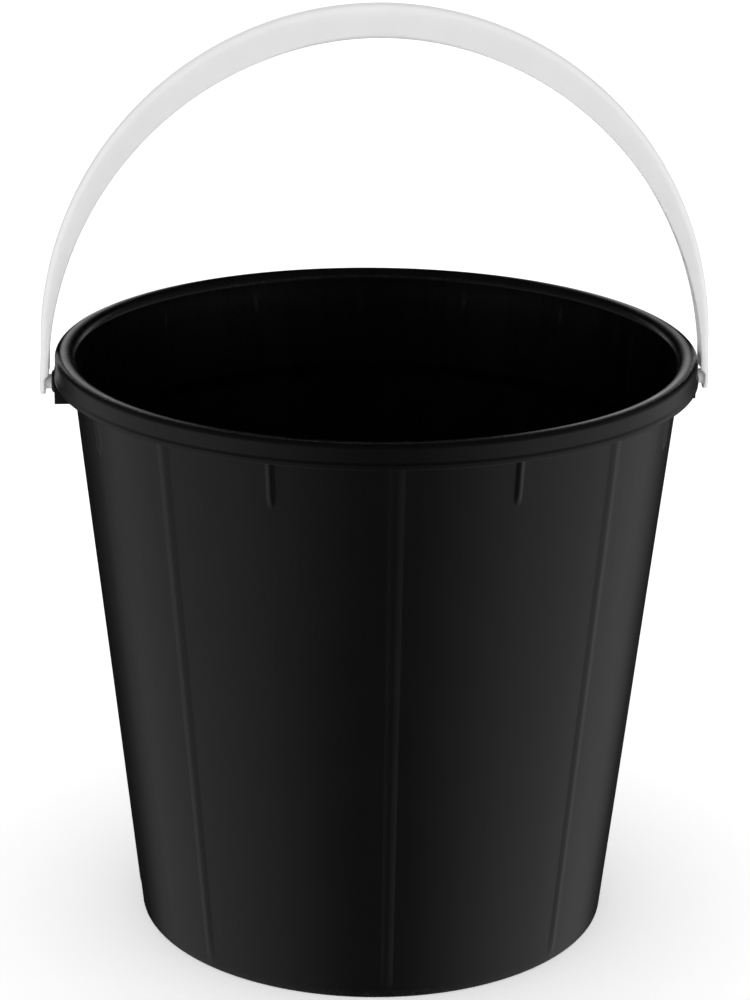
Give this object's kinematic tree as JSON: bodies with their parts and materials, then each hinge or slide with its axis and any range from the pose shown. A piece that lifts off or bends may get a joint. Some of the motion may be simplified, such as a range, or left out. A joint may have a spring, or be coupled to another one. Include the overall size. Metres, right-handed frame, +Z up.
{
  "type": "florist bucket",
  "caption": "Tapered round plastic bucket with a hollow rolled rim, slim ribs on the wall and a swinging bow handle snapped into ears under the rim.",
  "frame": {"origin": "centre of the foot ring, on the surface that the bucket stands on", "axes": "+Z up; X along the handle's pivot line; -Y is the front, with a wall rib on it"},
  "size_m": [0.2924, 0.28, 0.4108],
  "materials": {
    "black_plastic": "satin injection-moulded polypropylene",
    "white_plastic": "smooth satin injection-moulded polypropylene"
  },
  "bodies": {
    "bucket": {"bucket_body": "black_plastic"},
    "handle": {"handle": "white_plastic"}
  },
  "joints": [
    {"name": "handle_swing", "type": "hinge", "parent": "bucket", "child": "handle", "pos_m": [0, 0, 0.2467], "axis": [1, 0, 0], "range_deg": [-120, 120]}
  ]
}
